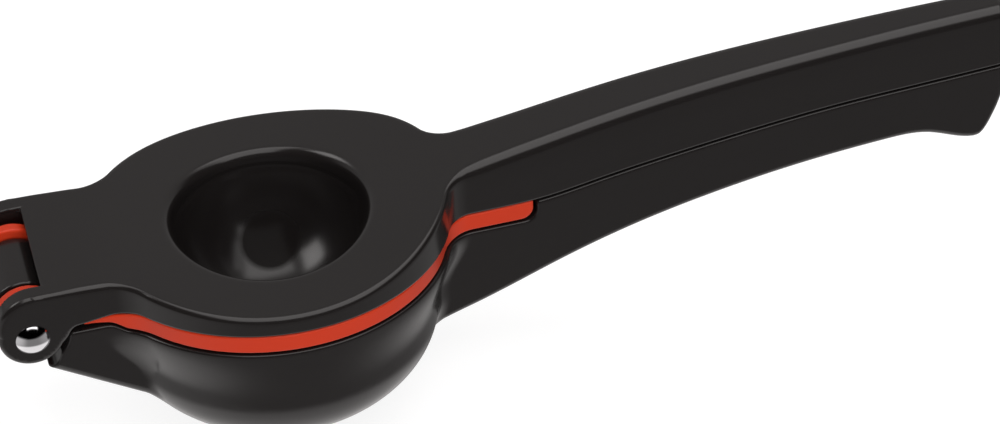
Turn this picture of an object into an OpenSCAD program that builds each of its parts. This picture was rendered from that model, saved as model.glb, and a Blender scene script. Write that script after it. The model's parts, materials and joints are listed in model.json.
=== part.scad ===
// Two-in-one hand citrus press: a lower arm with the juice bowl, a swinging lime cup and an
// upper arm with the press dome, all three turning on one hinge pin.
// Frame: origin at the centre of the flat under the bowl, +X to the handles' free end, +Z up.

/* [Plate and bowl] */
// Half length of the oval plate, along the handles
plate_a = 41.9; // [41:0.1:43]
// Half width of the plate, and the outer radius of the juice bowl
bowl_r = 38; // [37:0.5:39]
// Height of the plate's top at the press dome's centre
top_z = 49.1; // [48.6:0.1:49.6]
// Straight height of the bowl's wall under its rim
bowl_wall_h = 16.2; // [15:0.1:17]
// Depth of the bowl's rounded bottom, as if it had no flat
bowl_round_h = 23.7; // [23.5:0.1:24]
// Wall thickness of the juice bowl
bowl_t = 3; // [2.5:0.1:3.5]
// Drain hole radius in the juice bowl
bowl_hole_r = 1.6; // [1:0.1:2]

/* [Press dome] */
// Radius of the hollow in the dome
dome_hollow_r = 22.6; // [21:0.1:23]
// Wall thickness of the dome
dome_t = 2.5; // [2:0.1:3]
// How far the dome's centre lies under the plate's top
dome_drop = 2.5; // [2:0.5:3]

/* [Lime cup] */
// Thickness of the cup's flange
flange_t = 4.5; // [4:0.1:4.7]
// Inner radius of the cup
cup_r = 29.5; // [29:0.5:30]
// Wall thickness of the cup
cup_t = 2.5; // [2:0.1:2.8]
// How far the cup's round bottom starts under the flange's top
cup_drop = 2.15; // [1:0.05:3]
// Drain hole radius in the cup
cup_hole_r = 1.5; // [1:0.1:1.8]
// Sideways play that the cup has taken up towards the pin's head
cup_play = 1.4; // [1.3:0.05:1.4]
// Where the cup's finger tab ends
tab_end = 60.5; // [58:0.5:60.5]

/* [Hinge] */
// Distance from the bowl's centre back to the pin
pin_back = 58.7; // [58.5:0.1:59]
// How far the pin lies under the plate's top
pin_drop = 8; // [7.8:0.1:8.2]
// Pin shank radius
pin_r = 2.6; // [2:0.1:3]
// Radial clearance of the turning bores
run_gap = 0.08; // [0.03:0.01:0.1]
// Radial clearance of the pin in the ears that hold it
ear_gap = 0.02; // [0.01:0.01:0.05]
// Radius of the pin's domed head
head_r = 3.9; // [3.5:0.1:4.5]
// Height of the domed head
head_h = 1.7; // [1.6:0.1:2]
// Knuckle radius on the lower arm
knuckle_r = 8; // [7:0.1:8.2]
// Half width of the knuckle
knuckle_w = 8.4; // [8:0.1:8.4]
// Thickness of each of the cup's lugs
lug_t = 2.8; // [2.4:0.1:2.8]
// Half width of the slot between the upper arm's ears
slot_w = 14.3; // [14.3:0.1:14.5]
// Radius kept clear round the pin for the parts that swing
swing_r = 10.5; // [10.3:0.1:10.7]

/* [Handles] */
// Half width of the handles where they leave the plate
handle_w0 = 8.5; // [8:0.1:9]
// Half width of the handles at their free end
handle_w1 = 5.3; // [5:0.1:6]
// Where the handles end
handle_end = 178.5; // [177:0.5:180]
// Half width of the neck beside the plate
neck_w0 = 18; // [17.5:0.1:18.2]
// Half width of the neck at the ears
neck_w1 = 19; // [18.6:0.1:19.2]
// Wall thickness of the hollow handles
wall = 2.4; // [2:0.1:2.8]

/* [Hidden] */
$fn = 96;
far = 200;
rest_cut = 0.4;
seat_gap = 0.1;
flange_gap = 0.25;
neck_end = -68;
lug_in = knuckle_w + cup_play + 0.2;
lug_end_r = 7.45;
lug_boss_r = 6.6;
lug_rise = 2.6;
slot_end = -55;
neck_start = -46.5;
tab_gap = 0.8;
tab_rise = 0.2;
tab_round = 3;
start_round = 4;
split_gap = 0.6;
rim_h = 3.5;
round_n = 18;
bowl_mid_z = bowl_round_h - rest_cut;
rim_z = bowl_mid_z + bowl_wall_h;
flange_z = rim_z + flange_gap;
flange_top = flange_z + flange_t;
plate_z = flange_top + seat_gap;
pin_x = -pin_back;
pin_z = top_z - pin_drop;
head_y = neck_w1 + 0.1;

// Heights over the plate's top level of the curves that shape the arms, seen from the side
ear_points = [[-52, 3.5], [-58.4, 3.3], [-63.6, 0.9], [-67, -4.4], [-66.2, -10.7], [-60.4, -14.6],
              [-54.8, -12.9], [-51, -8.4], [-48.6, -5.7], [-46.9, plate_z - top_z]];
top_points = [[-52, 3.5], [-44, 3.4], [-32, 2.3], [-12, 0.3], [0, 0], [14, 0.75], [27, 2.9],
              [40, 6.6], [60, 11], [80, 14.8], [105, 18.3], [135, 20.9], [165, 22.6], [173, 22.9]];
split_points = [[50, plate_z - top_z], [63, -4.3], [77, -2], [96, 0.9], [115, 3.3], [135, 5.2],
                [155, 6.2], [handle_end, 7.3]];
under_points = [[36, -35.2], [47, -31.3], [67, -23.7], [86, -17.6], [106, -13.1], [126, -10],
                [147, -8.15], [158, -8.7], [164, -11], [168.4, -12.4], [171.4, -11.4],
                [174.5, -5.5], [handle_end - 1, 1.5]];

// One span of a Catmull-Rom curve, and a smooth curve through a list of points
function span(a, b, c, d, t) =
    0.5 * (2 * b + (c - a) * t + (2 * a - 5 * b + 4 * c - d) * t * t
           + (3 * b - a - 3 * c + d) * t * t * t);
function before(p, i) = i > 0 ? p[i - 1] : 2 * p[0] - p[1];
function after(p, i) = i < len(p) - 2 ? p[i + 2] : 2 * p[i + 1] - p[i];
function smooth(p, n = 4) = concat(
    [for (i = [0 : len(p) - 2], j = [0 : n - 1]) span(before(p, i), p[i], p[i + 1], after(p, i), j / n)],
    [p[len(p) - 1]]);
function lifted(p, dz) = [for (q = p) [q[0], q[1] + dz]];
function backwards(p) = [for (i = [len(p) - 1 : -1 : 0]) p[i]];

// A quarter-turn blend from p towards r with its corner at q
function blend(p, q, r, n = 6) =
    [for (i = [0 : n]) let (t = i / n) p * (1 - t) * (1 - t) + q * 2 * t * (1 - t) + r * t * t];

// Point of the plate's oval, and where its tangent there meets the line y = h
function oval(t, s) = [(plate_a - s) * cos(t), (bowl_r - s) * sin(t)];
function corner_x(t, s, h) =
    oval(t, s)[0] + (oval(t, s)[1] - h) * (plate_a - s) * sin(t) / ((bowl_r - s) * cos(t));

// Half outlines seen from above, drawn in from the arms' edge by s, from the neck to the handles' end
neck_turn = 141;
root_turn = 24;
end_round = 4;
oval_n = 30;
function blend_end(t, s, h, way) =
    let (x = corner_x(t, s, h)) [x + way * norm(oval(t, s) - [x, h]), h];
function blend_in(t, s, h, way) = blend(blend_end(t, s, h, way), [corner_x(t, s, h), h], oval(t, s));
function handle_tip(s) = [for (a = [90 : -18 : 0])
    [handle_end - end_round + end_round * cos(a), handle_w1 - s - end_round * (1 - sin(a))]];
function plate_edge(s) = concat(
    [[neck_end, neck_w1 - s]],
    blend_in(neck_turn, s, neck_w0 - s, -1),
    [for (k = [1 : oval_n - 1]) oval(neck_turn + (root_turn - neck_turn) * k / oval_n, s)],
    backwards(blend_in(root_turn, s, handle_w0 - s, 1)),
    handle_tip(s));

// The neck and the handle alone, without the oval between them
function strip_edge(s) = concat(
    [[neck_end, neck_w1 - s], blend_end(neck_turn, s, neck_w0 - s, -1), [0, neck_w0 - s]],
    [[0, handle_w0 - s], blend_end(root_turn, s, handle_w0 - s, 1)],
    handle_tip(s));

// Half an outline mirrored into a whole one, and extruded up through the whole part
module plan(half) {
    translate([0, 0, -far / 2]) linear_extrude(far)
        polygon(concat(half, [for (p = backwards(half)) [p[0], -p[1]]]));
}

// A side view drawn in x and z, made solid to y = -w .. w
module side(points, w = far / 2) {
    rotate([90, 0, 0]) translate([0, 0, -w]) linear_extrude(2 * w) polygon(points);
}

module across(r, w) {
    translate([pin_x, -w, pin_z]) rotate([-90, 0, 0]) cylinder(r = r, h = 2 * w);
}

// The same disc on both sides of the hinge, from y = w outwards
module beside(r, w, h, rise = 0) {
    for (m = [0, 1]) mirror([0, m, 0])
        translate([pin_x, w, pin_z + rise]) rotate([-90, 0, 0]) cylinder(r = r, h = h);
}

// A ring of drain holes, straight down
module drain_ring(count, ring_r, r) {
    for (k = [0 : count - 1])
        rotate([0, 0, k * 360 / count]) translate([ring_r, 0, -1]) cylinder(r = r, h = rim_z, $fn = 24);
}

// The juice bowl's outer or inner form, drawn in by s
function bowl_half(s) = concat(
    [[0, rim_z], [bowl_r - s, rim_z]],
    [for (k = [0 : round_n - 1]) let (a = 90 * k / round_n)
        [(bowl_r - s) * cos(a), bowl_mid_z - (bowl_round_h - s) * sin(a)]],
    [[0, bowl_mid_z - bowl_round_h + s]]);

module bowl_form(s) {
    rotate_extrude() polygon(bowl_half(s));
}

lower_top = concat([[pin_x, rim_z - top_z], [tab_end + tab_gap, rim_z - top_z]],
                   lifted(smooth([for (p = split_points) if (p[0] > tab_end) p]), -split_gap));
lower_side = lifted(concat(lower_top, backwards(smooth(under_points)),
                           [[-33, -32.3], [pin_x, -16.2]]), top_z);
trough_floor = [for (p = under_points) if (p[0] > 40 && p[0] < 160) [p[0], p[1] + wall]];
trough_start = 44;
trough_end = 171;

module lower_arm() color([0.2, 0.19, 0.18]) difference() {
    union() {
        intersection() {
            translate([-far / 2, -far / 2, 0]) cube([2 * far, far, far]);
            bowl_form(0);
        }
        intersection() {
            side(lower_side);
            plan(strip_edge(0));
        }
        intersection() {
            plan(plate_edge(0));
            translate([pin_x, -bowl_r, rim_z - rim_h]) cube([tab_end + tab_gap - pin_x, 2 * bowl_r, rim_h]);
        }
        across(knuckle_r, knuckle_w);
    }
    bowl_form(bowl_t);
    beside(swing_r, knuckle_w, bowl_r);
    intersection() {
        side(lifted(concat([[trough_start, 30]], smooth(concat([[trough_start, -29.6]], trough_floor)),
                           [[trough_end - 8, -8], [trough_end, -6], [trough_end, 30]]), top_z));
        plan(plate_edge(wall));
    }
    across(pin_r + run_gap, knuckle_w + 1);
    drain_ring(6, 6.6, bowl_hole_r);
    drain_ring(12, 13, bowl_hole_r);
    drain_ring(18, 19.5, bowl_hole_r);
}

cup_z = flange_top - cup_drop;
flange_side = concat(
    [[neck_start, flange_top], [50, flange_top], [tab_end, flange_top + tab_rise]],
    [for (a = [0 : -15 : -90])
        [tab_end - tab_round * (1 - cos(a)), flange_z + tab_round * (1 + sin(a))]],
    [for (a = [-90 : -15 : -180])
        [neck_start + start_round * (1 + cos(a)), flange_z + start_round * (1 + sin(a))]]);

module cup_form(r) {
    rotate_extrude() polygon(concat(
        [[0, flange_top], [r, flange_top]],
        [for (k = [0 : round_n]) let (a = 90 * k / round_n) [r * cos(a), cup_z - r * sin(a)]]));
}

module insert_cup() color([0.78, 0.23, 0.13]) translate([0, -cup_play, 0]) difference() {
    union() {
        intersection() {
            side(flange_side);
            plan(plate_edge(cup_play));
        }
        cup_form(cup_r + cup_t);
        beside(lug_boss_r, lug_in, lug_t);
        beside(lug_end_r, lug_in, lug_t, lug_rise);
        for (m = [0, 1]) mirror([0, m, 0])
            translate([pin_x, lug_in, flange_z]) cube([neck_start + 2 - pin_x, lug_t, flange_t]);
    }
    cup_form(cup_r);
    across(pin_r + run_gap, 30);
    drain_ring(6, 6, cup_hole_r);
    drain_ring(12, 12, cup_hole_r);
    drain_ring(18, 18, cup_hole_r);
}

dome_z = top_z - dome_drop;
upper_side = lifted(concat(
    backwards(smooth(ear_points)),
    smooth(top_points),
    [for (a = [72 : -18 : 0]) [handle_end - 4 + 4 * cos(a), 19 + 4 * sin(a)]],
    backwards(smooth(split_points))), top_z);
hollow_start = 46;
hollow_end = 173;
hollow_roof = [for (p = top_points) if (p[0] > 50 && p[0] < 170) [p[0], p[1] - wall]];

module dome_form(r) {
    rotate_extrude() polygon(concat(
        [[0, top_z + 20], [r, top_z + 20]],
        [for (k = [0 : round_n]) let (a = 90 * k / round_n) [r * cos(a), dome_z - r * sin(a)]]));
}

module upper_arm() color([0.2, 0.19, 0.18]) difference() {
    union() {
        intersection() {
            side(upper_side);
            plan(plate_edge(0));
        }
        intersection() {
            dome_form(dome_hollow_r + dome_t);
            translate([0, 0, plate_z + 1]) mirror([0, 0, 1]) cylinder(r = bowl_r, h = far);
        }
    }
    dome_form(dome_hollow_r);
    translate([-far + slot_end, -slot_w, 0]) cube([far, 2 * slot_w, far]);
    translate([-far, -slot_w, 0]) cube([far - bowl_r, 2 * slot_w, plate_z]);
    across(swing_r, slot_w);
    intersection() {
        side(lifted(concat([[hollow_start, -20], [hollow_start, 5]], smooth(hollow_roof),
                           [[hollow_end, 19], [hollow_end, -20]]), top_z));
        plan(plate_edge(wall));
    }
    across(pin_r + ear_gap, 30);
}

// The domed end of the pin, with its flat face at z = 0
module dome_head() {
    ball = (head_r * head_r + head_h * head_h) / (2 * head_h);
    intersection() {
        translate([0, 0, head_h - ball]) sphere(r = ball);
        cylinder(r = head_r, h = head_h);
    }
}

cap_bore = 0.6;

module hinge_pin() color("silver") translate([pin_x, -head_y, pin_z]) rotate([90, 0, 0]) {
    dome_head();
    translate([0, 0, -2 * head_y - cap_bore]) cylinder(r = pin_r, h = 2 * head_y + cap_bore);
}

module pin_cap() color("silver") translate([pin_x, head_y, pin_z]) rotate([-90, 0, 0]) difference() {
    dome_head();
    translate([0, 0, -0.1]) cylinder(r = pin_r, h = cap_bore + 0.1);
}

lower_arm();
insert_cup();
upper_arm();
hinge_pin();
pin_cap();
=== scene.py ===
"""Looks of the hand citrus press: enamelled castings, a chromed pin, a pale floor and soft light.

The castings are skinned from rounded solids written as distance fields, in millimetres. Heights
named u are counted from the plate's top level at the press dome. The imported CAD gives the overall
sizes and the pin's place, and the visual pieces stand for its nodes.
"""

import json
import math

import bpy
import numpy as np
from mathutils import Matrix, Vector


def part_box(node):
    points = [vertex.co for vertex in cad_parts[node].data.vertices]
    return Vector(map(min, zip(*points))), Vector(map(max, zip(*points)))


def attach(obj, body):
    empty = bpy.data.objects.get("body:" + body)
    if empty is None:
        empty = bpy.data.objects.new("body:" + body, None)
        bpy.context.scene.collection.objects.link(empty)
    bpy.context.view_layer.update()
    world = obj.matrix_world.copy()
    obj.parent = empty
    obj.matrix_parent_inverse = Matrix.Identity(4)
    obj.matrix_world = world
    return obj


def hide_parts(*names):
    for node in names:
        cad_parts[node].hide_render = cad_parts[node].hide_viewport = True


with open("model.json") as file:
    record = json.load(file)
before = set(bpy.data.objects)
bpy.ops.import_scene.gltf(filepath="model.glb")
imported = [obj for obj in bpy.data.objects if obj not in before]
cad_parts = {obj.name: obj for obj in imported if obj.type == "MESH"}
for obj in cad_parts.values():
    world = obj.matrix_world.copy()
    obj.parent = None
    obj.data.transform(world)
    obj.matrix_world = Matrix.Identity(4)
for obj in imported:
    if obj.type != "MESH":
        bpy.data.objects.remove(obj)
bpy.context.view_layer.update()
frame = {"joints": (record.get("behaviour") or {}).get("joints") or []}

MM = 0.001
TINY = 1e-9


def box_mm(node):
    """Lowest and highest corner of a CAD node, in millimetres."""
    low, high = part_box(node)
    return np.array(low) / MM, np.array(high) / MM


# ---------------------------------------------------------------- sizes, in millimetres

lower_low, lower_high = box_mm("lower_arm")
_, upper_high = box_mm("upper_arm")
pin_x, _, pin_z = (value / MM for value in frame["joints"][0]["pos_m"])

PIN_DROP = 8.0                      # pin's centre under the plate's top level
top_z = pin_z + PIN_DROP
bowl_r = (lower_high[1] - lower_low[1]) / 2
handle_end = upper_high[0]
rest_u = -top_z                     # what the press stands on

PLATE_A = 41.9                      # half length of the oval plate
PLATE_U = -4.75                     # underside of the plate
RIM_U = -10.2                       # rim of the juice bowl
FLANGE_LOW = -9.35                  # the cup's flange, between the bowl's rim and the plate
FLANGE_TOP = -4.85

BOWL_WALL_H = 16.2                  # straight part of the bowl's wall
BOWL_ROUND_H = 23.7                 # depth of its rounded bottom
BOWL_T = 3.0                        # wall thickness
STRETCH_U = -24.0                   # from here up the bowl widens to the plate's oval
BOWL_HOLES = ((6, 6.6), (12, 13.0), (18, 19.5))    # drain holes: how many, and their ring's radius
BOWL_HOLE_R = 1.6

DOME_HOLLOW_R = 22.6
DOME_T = 2.5
DOME_U = -2.5                       # centre of the dome's ball
DOME_LIP = 2.2                      # rounding where the plate turns down into the dome
DOME_ROOT = 1.5                     # fillet under the plate, round the dome

CUP_R = 29.5
CUP_T = 2.5
CUP_U = -7.0
CUP_PLAY = 1.4                      # the cup lies this far towards the pin's head
CUP_HOLES = ((6, 6.0), (12, 12.0), (18, 18.0))
CUP_HOLE_R = 1.5
CUP_START = -47.6                   # the flange's end beside the ears
CUP_START_ROUND = 1.6
CUP_ROOT = 1.5                      # fillet under the flange, round the cup
TAB_END = 60.5
TAB_RISE, TAB_RISE_X = 0.2, 50
TAB_ROUND = 3.0

# Beside the neck the lower arm's top rises, and the flange on it is thinner and lies further in
NECK_RISE, NECK_RISE_SPAN = 1.5, (36.5, 41)
NECK_INSET, NECK_INSET_SPAN = 1.2, (38, 46)

PIN_R = 2.6
RUN_GAP = 0.08                      # round the pin in the knuckle and the lugs
EAR_GAP = 0.02                      # and in the ears
HEAD_R = 3.9
HEAD_H = 1.7
CAP_BORE = 0.6                      # how deep the pin's end sits in its cap
PIN_PAST_NECK = 0.1
KNUCKLE_R = 8.0
KNUCKLE_W = 8.4
KNUCKLE_ROOT = 1.0
SWING_R = 10.5                      # room for the ears and lugs to swing in
EAR_SWING_R = 8.5                   # and beside the ears, except straight down
EAR_SWING_TURN = (0.68, 0.99)       # cosines of the turn from straight down, where it eases
EAR_INNER_Y, EAR_STEP = 14.2, 0.6
LUG_IN = 10.0
LUG_T = 2.8
LUG_END_R = 7.45
LUG_RISE = 2.6
LUG_BOSS_R = 6.6
LUG_FILLET = 2.0
LUG_BAR = 5.0                       # how far the lugs run in along the flange
SLOT_W = 14.3                       # half width between the ears
SLOT_END = -55.0
SLOT_UNDER = -44.0                  # under the plate the slot runs in to here

HANDLE_W0, HANDLE_X0 = 8.5, 49.5    # half width of the handles where they leave the plate
HANDLE_W1, HANDLE_X1 = 5.3, 174.5
NECK_W0, NECK_X0 = 18.8, -45.7      # half width of the neck beside the plate and at the ears
NECK_W1, NECK_X1 = 19.0, -68.0
LOWER_NECK_INSET = 0.3
NECK_FILLET = 4.0                   # in plan, between the plate and the neck
ROOT_FILLET = 4.5                   # and between the plate and the handle
LOW_NECK_FILLET, TOP_NECK_FILLET, NECK_FILLET_SPAN = 1.5, 5.0, (-27, -14)
LOW_ROOT_FILLET = 3.0
END_ROUND = 4.0                     # the handles' free end, in plan and from the side
WALL = 2.4
HOLLOW_START, HOLLOW_END = 46, 173  # the upper handle is hollow from below
TROUGH_START, TROUGH_END = 44, 171  # and the lower one from above
SPLIT_GAP = 0.6                     # between the handles
TAB_GAP = 0.8                       # between the finger tab and its pocket
POCKET_FILLET = 3.0

# Side views: x, and height over the plate's top level
TOP_POINTS = ((-52, 3.5), (-44, 3.4), (-32, 2.3), (-12, 0.3), (0, 0), (14, 0.75), (27, 2.9), (40, 6.6),
              (60, 11), (80, 14.8), (105, 18.3), (135, 20.9), (165, 22.6), (180, 23.1))
SPLIT_POINTS = ((50, -4.75), (63, -4.3), (77, -2), (96, 0.9), (115, 3.3), (135, 5.2), (155, 6.2),
                (180, 7.4))
UNDER_POINTS = ((30, -38.7), (36, -35.9), (47, -32), (67, -24.4), (86, -18.3), (106, -13.8), (126, -10.7),
                (147, -8.85), (158, -9.5), (164, -11.9), (168.6, -13.3), (171.8, -12.2), (174.9, -6),
                (179, 5))
NECK_UNDER = ((-57, -17.7), (-34, -32.3))
EAR_DISCS = ((pin_x, -PIN_DROP, 7.55), (-57.7, -5, 8.5))    # x, height and radius
EAR_FILLET = 1.6
EAR_FILLET_DEPTH = 4
DIP_X, DIP, DIP_LENGTH = -35.0, 0.155, 13    # towards the ears the plate's underside dips
DRAFT, DRAFT_DEPTH = 0.35, 8.0      # the handle leans in towards its top edge
DRAFT_SPAN = (42, 60)

# Edge roundings
EDGE_PLATE = 1.6                    # the upper arm's top edge, beside the plate
EDGE_HANDLE, EDGE_HANDLE_SPAN = 3.0, (38, 50)
EDGE_EAR, EDGE_EAR_SPAN = 1.3, (46, 53)
EDGE_LOW, EDGE_LOW_SPAN = 0.6, (0.6, 3)
EDGE_INNER = 0.5
EDGE_NECK = 2.5                     # the lower arm's underside, at the neck
EDGE_GRIP = 1.8                     # and along its handle
EDGE_RIM = 0.8
EDGE_SWING = 0.6
EDGE_TROUGH = 1.0
EDGE_HOLE = 0.4


# ---------------------------------------------------------------- curves and distances

class Curve:
    """A smooth line through points of a side view, read as height and slope at any x."""

    def __init__(self, points, step=0.05):
        x, z = np.array(points, float).T
        gap, n = np.diff(x), len(x)
        rows, right = np.eye(n), np.zeros(n)
        for i in range(1, n - 1):
            rows[i, i - 1:i + 2] = gap[i - 1], 2 * (gap[i - 1] + gap[i]), gap[i]
            right[i] = 6 * ((z[i + 1] - z[i]) / gap[i] - (z[i] - z[i - 1]) / gap[i - 1])
        bend = np.linalg.solve(rows, right)
        self.x = np.arange(x[0], x[-1] + step, step)
        i = np.clip(np.searchsorted(x, self.x) - 1, 0, n - 2)
        a, b, h = x[i + 1] - self.x, self.x - x[i], gap[i]
        self.z = ((bend[i] * a**3 + bend[i + 1] * b**3) / (6 * h)
                  + (z[i] / h - bend[i] * h / 6) * a + (z[i + 1] / h - bend[i + 1] * h / 6) * b)
        self.slope = np.gradient(self.z, self.x)

    def at(self, x):
        return np.interp(x, self.x, self.z)

    def over(self, x, u):
        """Distance above the curve."""
        return (u - self.at(x)) / np.sqrt(1 + np.interp(x, self.x, self.slope)**2)


top_curve = Curve(TOP_POINTS)
split_curve = Curve(SPLIT_POINTS)
under_curve = Curve(UNDER_POINTS)


def ease(value, start, end):
    """0 before start, 1 after end, and smooth between them."""
    t = np.clip((value - start) / (end - start), 0, 1)
    return t * t * (3 - 2 * t)


def join(a, b, r):
    """Both solids as one, with the inside corner filled to radius r."""
    return np.maximum(r, np.minimum(a, b)) - np.hypot(np.maximum(r - a, 0), np.maximum(r - b, 0))


def meet(a, b, r):
    """What two solids have in common, with the outside edge rounded to radius r."""
    return np.minimum(-r, np.maximum(a, b)) + np.hypot(np.maximum(r + a, 0), np.maximum(r + b, 0))


def cut(a, b, r):
    """The first solid less the second, with the edge rounded to radius r."""
    return meet(a, -b, r)


def oval(x, y, a, b):
    """Distance outside an ellipse."""
    k = np.hypot(x / a, y / b)
    return (k - 1) * k / np.maximum(np.hypot(x / a**2, y / b**2), TINY)


def under_line(x, u, points):
    """Distance below a straight line that runs left to right."""
    (x0, u0), (x1, u1) = points
    length = math.hypot(x1 - x0, u1 - u0)
    return ((x - x0) * (u1 - u0) - (u - u0) * (x1 - x0)) / length


def between(value, x0, w0, x1, w1):
    return w0 + (value - x0) * (w1 - w0) / (x1 - x0)


def handle_w(x):
    """Half width of the handles at each x."""
    return between(x, HANDLE_X0, HANDLE_W0, HANDLE_X1, HANDLE_W1)


def neck_w(x):
    """Half width of the neck at each x."""
    return between(x, NECK_X0, NECK_W0, NECK_X1, NECK_W1)


def plan(x, y):
    """Distance outside the outline that the plate, neck and handle share, seen from above."""
    side = np.abs(y)
    plate = oval(x, side, PLATE_A, bowl_r)
    neck = np.maximum(side - neck_w(x), x)
    handle = meet(np.maximum(side - handle_w(x), -x), x - handle_end, END_ROUND)
    return join(join(plate, neck, NECK_FILLET), handle, ROOT_FILLET)


def dip(x):
    """How far the plate's underside lies below its usual height, near the ears."""
    return DIP * np.clip(DIP_X - x, 0, DIP_LENGTH)


def neck_rise(x):
    """How far the lower arm's top, and the cup's flange on it, lie higher beside the neck."""
    return NECK_RISE * ease(-x, *NECK_RISE_SPAN)


def pin_tube(x, u, r, rise=0.0):
    """Distance outside a cylinder along the pin."""
    return np.hypot(x - pin_x, u + PIN_DROP - rise) - r


def ball(x, y, u, r, centre):
    """Distance outside a round-bottomed well: a ball's lower half with a straight wall above it."""
    return np.sqrt(x**2 + y**2 + np.minimum(u - centre, 0)**2) - r


def drain_holes(x, y, rings, r):
    """Distance outside rings of upright holes round the middle."""
    turn, away, nearest = np.arctan2(y, x), np.hypot(x, y), np.inf
    for count, ring_r in rings:
        pitch = 2 * math.pi / count
        off = (turn + pitch / 2) % pitch - pitch / 2
        nearest = np.minimum(nearest, np.hypot(away * np.cos(off) - ring_r, away * np.sin(off)) - r)
    return nearest


# ---------------------------------------------------------------- the castings as distance fields

def upper_arm(x, y, z):
    u, side = z - top_z, np.abs(y)
    under_plate = u - PLATE_U + dip(x)
    top, low = top_curve.over(x, u), -np.where(x > SPLIT_POINTS[0][0], split_curve.over(x, u), under_plate)
    first, second = (np.hypot(x - ex, u - eu) - er for ex, eu, er in EAR_DISCS)
    strip = np.maximum(meet(top, x - handle_end, END_ROUND), np.maximum(low, EAR_DISCS[1][0] - x))
    profile = join(strip, np.minimum(first, second), EAR_FILLET * ease(-u, 0, EAR_FILLET_DEPTH))
    edge = EDGE_PLATE + (EDGE_HANDLE - EDGE_PLATE) * ease(x, *EDGE_HANDLE_SPAN)
    edge = EDGE_LOW + (edge - EDGE_LOW) * ease(-low, *EDGE_LOW_SPAN)
    edge = edge + (EDGE_EAR - edge) * ease(-x, *EDGE_EAR_SPAN)
    lean = DRAFT * np.clip(1 + top / DRAFT_DEPTH, 0, 1)**2 * ease(x, *DRAFT_SPAN)
    body = meet(plan(x, y) + lean, profile, edge)
    dome = np.maximum(ball(x, y, u, DOME_HOLLOW_R + DOME_T, DOME_U), u - PLATE_U - 1)
    body = join(body, dome, DOME_ROOT)
    body = cut(body, ball(x, y, u, DOME_HOLLOW_R, DOME_U), DOME_LIP)
    body = cut(body, np.maximum(side - SLOT_W, x - SLOT_END), EDGE_INNER)
    body = cut(body, np.maximum(np.maximum(side - SLOT_W, under_plate), x - SLOT_UNDER), EDGE_INNER)
    body = cut(body, np.maximum(pin_tube(x, u, SWING_R), side - SLOT_W), EDGE_INNER)
    hollow = meet(plan(x, y) + WALL, top + WALL, EDGE_PLATE)
    hollow = meet(hollow, np.maximum(HOLLOW_START - x, x - HOLLOW_END), EDGE_PLATE)
    body = cut(body, hollow, EDGE_INNER)
    return np.maximum(body, -pin_tube(x, u, PIN_R + EAR_GAP))


def bowl(x, y, u, inset, oval_share):
    """Distance outside the juice bowl's form drawn in by inset; its rim may widen to the plate's oval."""
    x = x / (1 + (PLATE_A / bowl_r - 1) * oval_share * ease(u, STRETCH_U, RIM_U))
    r, depth = bowl_r - inset, BOWL_ROUND_H - inset
    below = np.minimum(u - RIM_U + BOWL_WALL_H, 0)
    k = np.sqrt((x**2 + y**2) / r**2 + (below / depth)**2)
    return (k - 1) * k / np.maximum(np.sqrt((x**2 + y**2) / r**4 + (below / depth**2)**2), TINY)


def lower_arm(x, y, z):
    u, side = z - top_z, np.abs(y)
    neck = np.maximum(under_line(x, u, NECK_UNDER), np.maximum(pin_x - x, x))
    neck = meet(neck, side - neck_w(x) + LOWER_NECK_INSET, EDGE_NECK)
    handle = meet(-under_curve.over(x, u), np.maximum(side - handle_w(x), -x), EDGE_GRIP)
    up_neck, up_root = ease(u, *NECK_FILLET_SPAN), ease(u, NECK_FILLET_SPAN[0], RIM_U)
    body = join(bowl(x, y, u, 0, 1), neck, LOW_NECK_FILLET + (TOP_NECK_FILLET - LOW_NECK_FILLET) * up_neck)
    body = join(body, handle, LOW_ROOT_FILLET + (ROOT_FILLET - LOW_ROOT_FILLET) * up_root)
    body = meet(body, x - handle_end, END_ROUND)
    behind_tab = meet(TAB_END + TAB_GAP - x, split_curve.over(x, u) + SPLIT_GAP, EDGE_RIM)
    body = meet(body, join(u - RIM_U - neck_rise(x), behind_tab, POCKET_FILLET), EDGE_RIM)
    straight_down = ease(-(u + PIN_DROP) / np.maximum(pin_tube(x, u, 0), TINY), *EAR_SWING_TURN)
    tight = ease(side, EAR_INNER_Y - EAR_STEP, EAR_INNER_Y) * (1 - straight_down)
    swing = pin_tube(x, u, SWING_R - (SWING_R - EAR_SWING_R) * tight)
    body = join(body, np.maximum(pin_tube(x, u, KNUCKLE_R), side - KNUCKLE_W - 1), KNUCKLE_ROOT)
    body = cut(body, np.maximum(swing, KNUCKLE_W - side), EDGE_SWING)
    body = cut(body, bowl(x, y, u, BOWL_T, 0), EDGE_RIM)
    body = meet(body, rest_u - u, EDGE_LOW)
    trough = meet(-under_curve.over(x, u) + WALL, side - handle_w(x) + WALL, EDGE_TROUGH)
    trough = meet(trough, np.maximum(TROUGH_START - x, x - TROUGH_END), EDGE_TROUGH)
    body = cut(body, trough, EDGE_INNER)
    body = cut(body, drain_holes(x, y, BOWL_HOLES, BOWL_HOLE_R), EDGE_HOLE)
    return np.maximum(body, -pin_tube(x, u, PIN_R + RUN_GAP))


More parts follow.
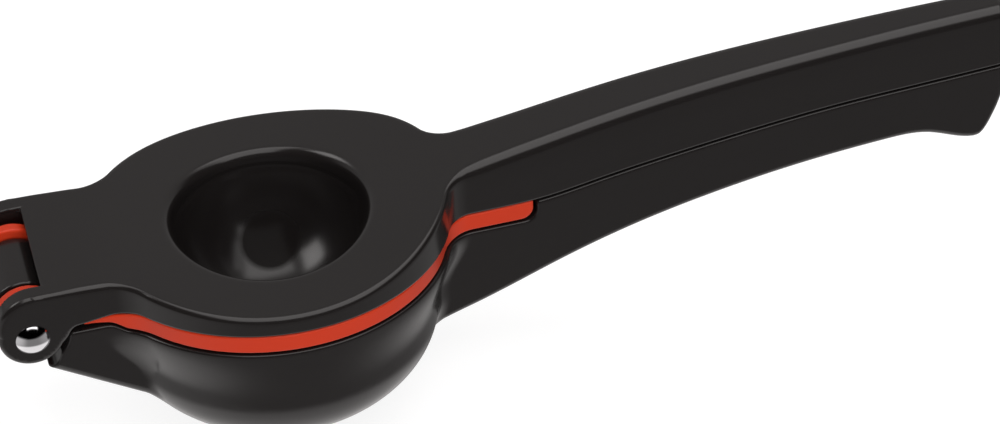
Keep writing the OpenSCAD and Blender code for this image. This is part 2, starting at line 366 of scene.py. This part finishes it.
def insert_cup(x, y, z):
    u, y = z - top_z, y + CUP_PLAY
    side = np.abs(y)
    top = u - FLANGE_TOP + dip(x) - TAB_RISE * ease(x, TAB_RISE_X, TAB_END)
    low = FLANGE_LOW + neck_rise(x) - u
    ends = np.maximum(meet(CUP_START - x, low, CUP_START_ROUND), meet(x - TAB_END, low, TAB_ROUND))
    inset = CUP_PLAY + NECK_INSET * ease(-x, *NECK_INSET_SPAN)
    flange = meet(plan(x, y) + inset, np.maximum(top, ends), EDGE_INNER)
    body = join(flange, np.maximum(ball(x, y, u, CUP_R + CUP_T, CUP_U), u - FLANGE_LOW - 1), CUP_ROOT)
    lug = join(pin_tube(x, u, LUG_BOSS_R), pin_tube(x, u, LUG_END_R, LUG_RISE), LUG_FILLET)
    bar = np.maximum(u - FLANGE_TOP + dip(x), low)
    bar = np.maximum(bar, np.maximum(pin_x - x, x - CUP_START - LUG_BAR))
    lug = meet(join(lug, bar, LUG_FILLET), np.abs(side - LUG_IN - LUG_T / 2) - LUG_T / 2, EDGE_LOW)
    body = np.minimum(body, lug)
    body = cut(body, ball(x, y, u, CUP_R, CUP_U), EDGE_RIM)
    body = cut(body, drain_holes(x, y, CUP_HOLES, CUP_HOLE_R), EDGE_HOLE)
    return np.maximum(body, -pin_tube(x, u, PIN_R + RUN_GAP))


# ---------------------------------------------------------------- skinning a distance field

# Distances from an edge at which the grid has a line: outside it, and inside it
FINE_OUT = (0.35, 0.1)
FINE_IN = (0.12, 0.34, 0.6, 0.9, 1.25, 1.65, 2.1, 2.6)

# Moving the points onto the surface
SETTLE_STEPS = 5
LONGEST_STEP = 0.4
FLATTEST = 0.05


def stations(*spans):
    """Places along x: each span is its start, end and step."""
    return np.concatenate([np.linspace(a, b, max(1, round((b - a) / step)), endpoint=False)
                           for a, b, step in spans])


def outline_w(x, away=0.0):
    """Half width of the plan outline at each x, drawn in by away."""
    low, high = np.full(len(x), 0.5), np.full(len(x), bowl_r + 2.0)
    inner = np.minimum(x, handle_end - END_ROUND - 1)
    for _ in range(40):
        middle = (low + high) / 2
        outside = plan(inner, middle) > -away
        low, high = np.where(outside, low, middle), np.where(outside, middle, high)
    return low


def lowest(field, x):
    """Height of the field's lowest point at each x, over the plate's top level."""
    heights = np.arange(rest_u - 1, 10, 0.2)
    grid = np.meshgrid(x, np.arange(0, bowl_r, 1.5), heights + top_z, indexing="ij")
    inside = (field(*grid) < 0).any(1)
    return heights[inside.argmax(1)]


def y_lines(width, count):
    """The grid's lines across, for each x: even ones, and fine ones near the outline."""
    width = width[:, None]
    reach = np.minimum(FINE_IN[-1], width * 0.4)
    inner, outer = reach * np.array(FINE_IN[::-1]) / FINE_IN[-1], np.array(FINE_OUT[::-1])
    fine = np.concatenate([width - inner, width + outer], axis=1)
    even = fine[:, :1] * (np.arange(count) + 0.5) / (count + 0.5)
    half = np.concatenate([even, fine], axis=1)
    return np.concatenate([-half[:, ::-1], half], axis=1)


def z_lines(low, high, count, below=(), above=()):
    """The grid's heights for each x: fine near a low and a high edge, even between, and more outside."""
    low, high = low[:, None], high[:, None]
    reach = np.minimum(FINE_IN[-1], (high - low) * 0.42)
    fine = reach * np.array(FINE_IN) / FINE_IN[-1]
    gap = (high - low - 2 * reach) / (count + 1)
    even = low + reach + gap * np.arange(1, count + 1)
    under, over = np.array(tuple(below)[::-1] + FINE_OUT), np.array(FINE_OUT[::-1] + tuple(above))
    return top_z + np.concatenate([low - under, low + fine, even, high - fine[:, ::-1], high + over], axis=1)


def skin(field, x, y, z):
    """Points, quads and normals of the field's zero surface; y and z hold the grid's lines at each x."""
    grid = np.stack(np.broadcast_arrays(x[:, None, None], y[:, :, None], z[:, None, :]), -1)
    value = field(grid[..., 0], grid[..., 1], grid[..., 2])
    inside = value < 0
    cells = np.array(value.shape) - 1
    total, count = np.zeros((cells.prod(), 3)), np.zeros(cells.prod())
    quads = []
    for axis in range(3):
        first, second = [slice(None)] * 3, [slice(None)] * 3
        first[axis], second[axis] = slice(None, -1), slice(1, None)
        a, b = tuple(first), tuple(second)
        edge = np.argwhere(inside[a] != inside[b])
        va, vb = value[a][tuple(edge.T)], value[b][tuple(edge.T)]
        pa, pb = grid[a][tuple(edge.T)], grid[b][tuple(edge.T)]
        point = pa + (va / (va - vb))[:, None] * (pb - pa)
        p, q = (axis + 1) % 3, (axis + 2) % 3
        corners = []
        for back_p, back_q in ((1, 1), (0, 1), (0, 0), (1, 0)):
            cell = edge.copy()
            cell[:, p] -= back_p
            cell[:, q] -= back_q
            flat = np.ravel_multi_index(cell.T, cells)
            for k in range(3):
                total[:, k] += np.bincount(flat, point[:, k], len(total))
            count += np.bincount(flat, minlength=len(count))
            corners.append(flat)
        quad = np.stack(corners, 1)
        quads.append(np.where((va < 0)[:, None], quad, quad[:, ::-1]))
    used = count > 0
    points = total[used] / count[used][:, None]
    faces = (np.cumsum(used) - 1)[np.concatenate(quads)]
    for _ in range(SETTLE_STEPS):
        distance, normal = slope_of(field, points)
        step = distance[:, None] * normal / np.maximum((normal**2).sum(1), FLATTEST)[:, None]
        length = np.linalg.norm(step, axis=1, keepdims=True)
        points = points - step * np.minimum(1, LONGEST_STEP / np.maximum(length, TINY))
    _, normal = slope_of(field, points)
    return points, faces, normal / np.maximum(np.linalg.norm(normal, axis=1, keepdims=True), TINY)


def slope_of(field, points, step=0.02):
    """The field and its gradient at points."""
    normal = np.stack([field(*(points + offset).T) - field(*(points - offset).T)
                       for offset in np.eye(3) * step], 1) / (2 * step)
    return field(*points.T), normal


def piece(name, node, body, points, faces, normals, material):
    """A Blender object from millimetre points, riding on its CAD body in place of its CAD node."""
    mesh = bpy.data.meshes.new(name)
    mesh.from_pydata((points * MM).tolist(), [], faces.tolist())
    mesh.validate()
    mesh.shade_smooth()
    if normals is not None:
        mesh.normals_split_custom_set_from_vertices(normals.tolist())
    mesh.materials.append(material)
    obj = bpy.data.objects.new(name, mesh)
    bpy.context.scene.collection.objects.link(obj)
    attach(obj, body)
    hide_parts(node)
    return obj


def lathe(profile, segments=96):
    """Points and quads of a profile (radius, height) turned round z; a radius of 0 closes the end."""
    points, rings, faces = [], [], []
    for r, h in profile:
        if r == 0:
            rings.append([len(points)] * segments)
            points.append((0, 0, h))
            continue
        rings.append(list(range(len(points), len(points) + segments)))
        points += [(r * math.cos(2 * math.pi * k / segments), r * math.sin(2 * math.pi * k / segments), h)
                   for k in range(segments)]
    for low, high in zip(rings, rings[1:]):
        for k in range(segments):
            face = [low[k], low[(k + 1) % segments], high[(k + 1) % segments], high[k]]
            faces.append([v for n, v in enumerate(face) if v != face[n - 1]])
    return np.array(points, float), faces


# ---------------------------------------------------------------- materials

def nodes_of(name):
    """A new material with its node tree and shader."""
    material = bpy.data.materials.new(name)
    material.use_nodes = True
    tree = material.node_tree
    return material, tree, tree.nodes["Principled BSDF"]


def add(tree, kind, inputs=None, **settings):
    """A new node; its inputs are values, or the sockets they come from."""
    node = tree.nodes.new(kind)
    for key, value in settings.items():
        setattr(node, key, value)
    for key, value in (inputs or {}).items():
        if isinstance(value, bpy.types.NodeSocket):
            tree.links.new(value, node.inputs[key])
        else:
            node.inputs[key].default_value = value
    return node


# Painted shade: a spot on the far wall of the dome's hollow where the specular level is lowered, so that
# this wall looks dark from the front; the casting has no such dull patch
PAINTED_SHADE_SPOT, PAINTED_SHADE_SPOT_R = (1.8, 13.9, top_z - 20.0), (6.2, 7.8)
PAINTED_SHADE_SPECULAR, FULL_SPECULAR = 0.04, 0.5
GLOSS_DRIFT = 0.02
PEEL_DEPTH = 0.0002


def painted_shade_gloss(tree, place):
    """Painted shade in the dome's hollow: a specular level that is low on the spot and full elsewhere."""
    spot = [value * MM for value in PAINTED_SHADE_SPOT]
    away = add(tree, "ShaderNodeVectorMath", {0: place, 1: spot}, operation="DISTANCE").outputs["Value"]
    inner, outer = (r * MM for r in PAINTED_SHADE_SPOT_R)
    return add(tree, "ShaderNodeMapRange", {"Value": away, "From Min": inner, "From Max": outer,
                                            "To Min": PAINTED_SHADE_SPECULAR, "To Max": FULL_SPECULAR}).outputs[0]


def enamel(name, colour, rough, peel, tint, specular=0.5, well=False):
    """Fired paint on a casting: a faint orange peel, slightly uneven gloss and a slow drift of tone; with
    well set, also painted shade, a spot of low specular level in the dome's hollow.
    """
    material, tree, shader = nodes_of(name)
    place = add(tree, "ShaderNodeTexCoord").outputs["Object"]
    drift = add(tree, "ShaderNodeTexNoise", {"Vector": place, "Scale": 28.0, "Detail": 3.0}).outputs["Fac"]
    dark = [channel * (1 - tint) for channel in colour]
    light = [channel * (1 + tint) for channel in colour]
    tone = add(tree, "ShaderNodeMix", {0: drift, 6: (*dark, 1), 7: (*light, 1)}, data_type="RGBA")
    tree.links.new(tone.outputs[2], shader.inputs["Base Color"])
    grain = add(tree, "ShaderNodeTexNoise", {"Vector": place, "Scale": 420.0, "Detail": 2.0}).outputs["Fac"]
    gloss = add(tree, "ShaderNodeMapRange", {"Value": grain, "To Min": rough - GLOSS_DRIFT,
                                             "To Max": rough + GLOSS_DRIFT})
    tree.links.new(gloss.outputs[0], shader.inputs["Roughness"])
    bump = add(tree, "ShaderNodeBump", {"Height": grain, "Strength": peel, "Distance": PEEL_DEPTH})
    tree.links.new(bump.outputs["Normal"], shader.inputs["Normal"])
    shader.inputs["IOR"].default_value = 1.5
    shader.inputs["Specular IOR Level"].default_value = specular
    # Painted shade: lower the specular level on a spot of the dome's hollow so that it looks dark
    if well:
        tree.links.new(painted_shade_gloss(tree, place), shader.inputs["Specular IOR Level"])
    return material


def chrome(name):
    """Polished plating, very slightly uneven."""
    material, tree, shader = nodes_of(name)
    place = add(tree, "ShaderNodeTexCoord").outputs["Object"]
    grain = add(tree, "ShaderNodeTexNoise", {"Vector": place, "Scale": 900.0, "Detail": 3.0}).outputs["Fac"]
    gloss = add(tree, "ShaderNodeMapRange", {"Value": grain, "To Min": 0.05, "To Max": 0.12})
    tree.links.new(gloss.outputs[0], shader.inputs["Roughness"])
    bump = add(tree, "ShaderNodeBump", {"Height": grain, "Strength": 0.03, "Distance": 0.0001})
    tree.links.new(bump.outputs["Normal"], shader.inputs["Normal"])
    shader.inputs["Base Color"].default_value = (0.82, 0.82, 0.84, 1)
    shader.inputs["Metallic"].default_value = 1
    return material


# The black enamel carries the painted shade spot in the dome's hollow (well=True)
black = enamel("black_enamel", (0.0125, 0.0108, 0.0105), 0.2, 0.04, 0.06, well=True)
orange = enamel("orange_enamel", (0.62, 0.043, 0.0135), 0.3, 0.05, 0.03, specular=0.3)
silver = chrome("polished_pin")


# ---------------------------------------------------------------- the pieces

arm_x = stations((-69, -44, 0.55), (-44, 44, 0.85), (44, 50, 0.6), (50, 58, 1.0), (58, 64, 0.45),
                 (64, 170, 1.6), (170, handle_end + 2, 0.6))
arm_w = outline_w(arm_x)
top_line = top_curve.at(arm_x)
plate_low = np.where(arm_x > SPLIT_POINTS[0][0], split_curve.at(arm_x), PLATE_U - dip(arm_x))
arm_z = z_lines(plate_low, top_line, 6, below=np.arange(0.9, 24.5, 0.85))
points, faces, normals = skin(upper_arm, arm_x, y_lines(arm_w, 42), arm_z)
piece("upper_arm_body", "upper_arm", "upper", points, faces, normals, black)

low_line = lowest(lower_arm, arm_x)
lid_line = RIM_U + (split_curve.at(arm_x) - SPLIT_GAP - RIM_U) * ease(arm_x, TAB_END - 0.5, TAB_END + 2)
arm_z = z_lines(low_line, lid_line, 23, above=np.arange(1.0, 11, 0.9))
points, faces, normals = skin(lower_arm, arm_x, y_lines(arm_w, 32), arm_z)
piece("lower_arm_body", "lower_arm", "lower", points, faces, normals, black)

cup_x = stations((-68, -40, 0.6), (-40, 44, 0.85), (44, TAB_END + 1.5, 0.6))
cup_w = outline_w(cup_x, CUP_PLAY)
cup_z = z_lines(np.full(len(cup_x), FLANGE_LOW), FLANGE_TOP - dip(cup_x), 3,
                below=np.arange(1.0, 31, 0.85), above=np.arange(0.9, 10.5, 0.65))
points, faces, normals = skin(insert_cup, cup_x, y_lines(cup_w, 42) - CUP_PLAY, cup_z)
piece("insert_cup_body", "insert_cup", "cup", points, faces, normals, orange)

head_y = NECK_W1 + PIN_PAST_NECK
curve_r = (HEAD_R**2 + HEAD_H**2) / (2 * HEAD_H)
head_r = [HEAD_R * math.sin(turned) for turned in np.linspace(math.pi / 2, 0, 16)[:-1]]
head = [(r, HEAD_H - curve_r + math.sqrt(curve_r**2 - r**2)) for r in head_r] + [(0, HEAD_H)]


def pin_piece(name, node, inner_end, facing):
    """A domed head outside the ear, at the front (-1) or the back (1), with its shank or bore."""
    profile = [(0, inner_end), (PIN_R, inner_end), (PIN_R, 0), (HEAD_R, 0)] + head[1:]
    points, faces = lathe(profile)
    along_pin, upright = facing * (points[:, 2] + head_y), -facing * points[:, 1] + pin_z
    placed = np.stack([points[:, 0] + pin_x, along_pin, upright], 1)
    piece(name, node, "upper", placed, np.array(faces, object), None, silver)


pin_piece("hinge_pin_body", "hinge_pin", -2 * head_y - CAP_BORE, -1)
pin_piece("pin_cap_body", "pin_cap", CAP_BORE, 1)


# ---------------------------------------------------------------- floor, light and camera

FLOOR = 3.0                         # half its side, in metres
FLOOR_TONE = (0.29, 0.31)
FLOOR_GLOW = 0.84
FILL_PLACE, FILL_TARGET = Vector((0.0, -1.25, 0.36)), Vector((0.03, 0, 0.04))
FILL_SIZE, FILL_POWER = (1.4, 0.7), 12.0

# Brightness of the studio: behind the press, and below the horizon
BACK_WALL = 0.37
FLOOR_FRONT, FLOOR_NEAR, FLOOR_LEFT, FLOOR_RIGHT = 0.21, 0.68, 0.36, 0.12
STUDIO_TINT = (1, 0.97, 0.96, 1)

floor_paint, floor_tree, floor_shader = nodes_of("floor_paint")
floor_place = add(floor_tree, "ShaderNodeTexCoord").outputs["Object"]
floor_grain = add(floor_tree, "ShaderNodeTexNoise", {"Vector": floor_place, "Scale": 40.0}).outputs["Fac"]
floor_tone = add(floor_tree, "ShaderNodeMapRange", {"Value": floor_grain, "To Min": FLOOR_TONE[0],
                                                    "To Max": FLOOR_TONE[1]})
floor_tree.links.new(floor_tone.outputs[0], floor_shader.inputs["Base Color"])
floor_shader.inputs["Roughness"].default_value = 0.9
floor_shader.inputs["Specular IOR Level"].default_value = 0.0
floor_shader.inputs["Emission Color"].default_value = (1, 1, 1, 1)
floor_shader.inputs["Emission Strength"].default_value = FLOOR_GLOW
floor_mesh = bpy.data.meshes.new("floor")
floor_corners = [(x * FLOOR, y * FLOOR, 0) for x, y in ((-1, -1), (1, -1), (1, 1), (-1, 1))]
floor_mesh.from_pydata(floor_corners, [], [range(4)])
floor_mesh.materials.append(floor_paint)
floor = bpy.data.objects.new("floor", floor_mesh)
bpy.context.scene.collection.objects.link(floor)
floor.visible_glossy = False
floor.visible_diffuse = False

# A fill light that glossy surfaces do not mirror
fill_data = bpy.data.lights.new("fill", "AREA")
fill_data.shape = "RECTANGLE"
fill_data.size, fill_data.size_y = FILL_SIZE
fill_data.energy = FILL_POWER
fill = bpy.data.objects.new("fill", fill_data)
bpy.context.scene.collection.objects.link(fill)
fill.location = FILL_PLACE
fill.rotation_euler = (FILL_TARGET - FILL_PLACE).to_track_quat("-Z", "Y").to_euler()
fill.visible_glossy = False

world = bpy.data.worlds.new("studio")
bpy.context.scene.world = world
world.use_nodes = True
studio = world.node_tree
toward = add(studio, "ShaderNodeTexCoord").outputs["Generated"]


def along(axis):
    """How far the looked-at direction goes along an axis."""
    length = math.sqrt(sum(value**2 for value in axis))
    unit = tuple(value / length for value in axis)
    dot = add(studio, "ShaderNodeVectorMath", {0: toward, 1: unit}, operation="DOT_PRODUCT")
    return dot.outputs["Value"]


def rise(value, start, end, height=1.0):
    """0 up to start, height from end on, and smooth between."""
    node = add(studio, "ShaderNodeMapRange", {"Value": value, "From Min": start, "From Max": end,
                                              "To Max": height}, interpolation_type="SMOOTHSTEP")
    return node.outputs[0]


def combine(a, b, operation):
    """Two brightnesses, or shares of one, through a sum or product."""
    return add(studio, "ShaderNodeMath", {0: a, 1: b}, operation=operation).outputs[0]


def lamp(centre, side, half, depth, reach, soft, radiance):
    """A bright soft-edged panel: half its width along side, and its reach along depth."""
    middle = Vector(centre).normalized().dot(Vector(side).normalized())
    off = combine(along(side), middle, "SUBTRACT")
    away = add(studio, "ShaderNodeMath", {0: off}, operation="ABSOLUTE").outputs[0]
    shape = combine(rise(along(centre), 0, 0.1, radiance), rise(away, half + soft, half - soft), "MULTIPLY")
    near = rise(along(depth), reach[0] - soft, reach[0] + soft)
    far = rise(along(depth), reach[1] + soft, reach[1] - soft)
    return combine(shape, combine(near, far, "MULTIPLY"), "MULTIPLY")


def total(parts):
    """The sum of several brightnesses."""
    result = parts[0]
    for part in parts[1:]:
        result = combine(result, part, "ADD")
    return result


RIGHT, BACK, UP = (1, 0, 0), (0, 1, 0), (0, 0, 1)
LEFT = (-1, 0, 0)
above = rise(along(UP), -0.1, 0.1)
below = rise(along(UP), 0.05, -0.15)
table = total([rise(along(UP), 0.0, -0.2, FLOOR_FRONT), rise(along(UP), -0.68, -0.82, FLOOR_NEAR),
               rise(along(LEFT), 0.3, 0.9, FLOOR_LEFT), rise(along(RIGHT), 0.3, 0.9, FLOOR_RIGHT)])
sky = total([
    combine(rise(along(BACK), -0.15, 0.35, BACK_WALL), above, "MULTIPLY"),
    combine(below, table, "MULTIPLY"),
    lamp((0.1, 0, 1), RIGHT, 0.42, (0, 1, 0.1), (-0.62, 0.4), 0.06, 1.8),
    lamp((-0.66, 0.2, 0.72), (1, 0, 0.9), 0.2, BACK, (0.0, 0.44), 0.05, 3.2),
    lamp((0.6, -0.2, 0.77), (1, 0, -0.78), 0.07, BACK, (-0.45, 0.15), 0.05, 1.0),
])
backdrop = studio.nodes["Background"]
backdrop.inputs["Color"].default_value = STUDIO_TINT
studio.links.new(sky, backdrop.inputs["Strength"])
bpy.context.scene.view_settings.view_transform = "Standard"

# The camera
CAMERA_PLACE = np.array((-110.02, -716.04, top_z + 587.04))
AZIMUTH, ELEVATION, ROLL = (math.radians(a) for a in (-12.929, 39.2275, -2.5506))
LENS, SENSOR = 146.274, 36.0
back = np.array((math.sin(AZIMUTH) * math.cos(ELEVATION), -math.cos(AZIMUTH) * math.cos(ELEVATION),
                 math.sin(ELEVATION)))
right = np.array((math.cos(AZIMUTH), math.sin(AZIMUTH), 0))
up = np.cross(back, right)
camera_data = bpy.data.cameras.new("camera")
camera_data.lens, camera_data.sensor_width = LENS, SENSOR
camera = bpy.data.objects.new("camera", camera_data)
bpy.context.scene.collection.objects.link(camera)
turn = np.eye(4)
turn[:3, 0] = right * math.cos(ROLL) + up * math.sin(ROLL)
turn[:3, 1] = up * math.cos(ROLL) - right * math.sin(ROLL)
turn[:3, 2] = back
turn[:3, 3] = CAMERA_PLACE * MM
camera.matrix_world = Matrix(turn.tolist())
bpy.context.scene.camera = camera
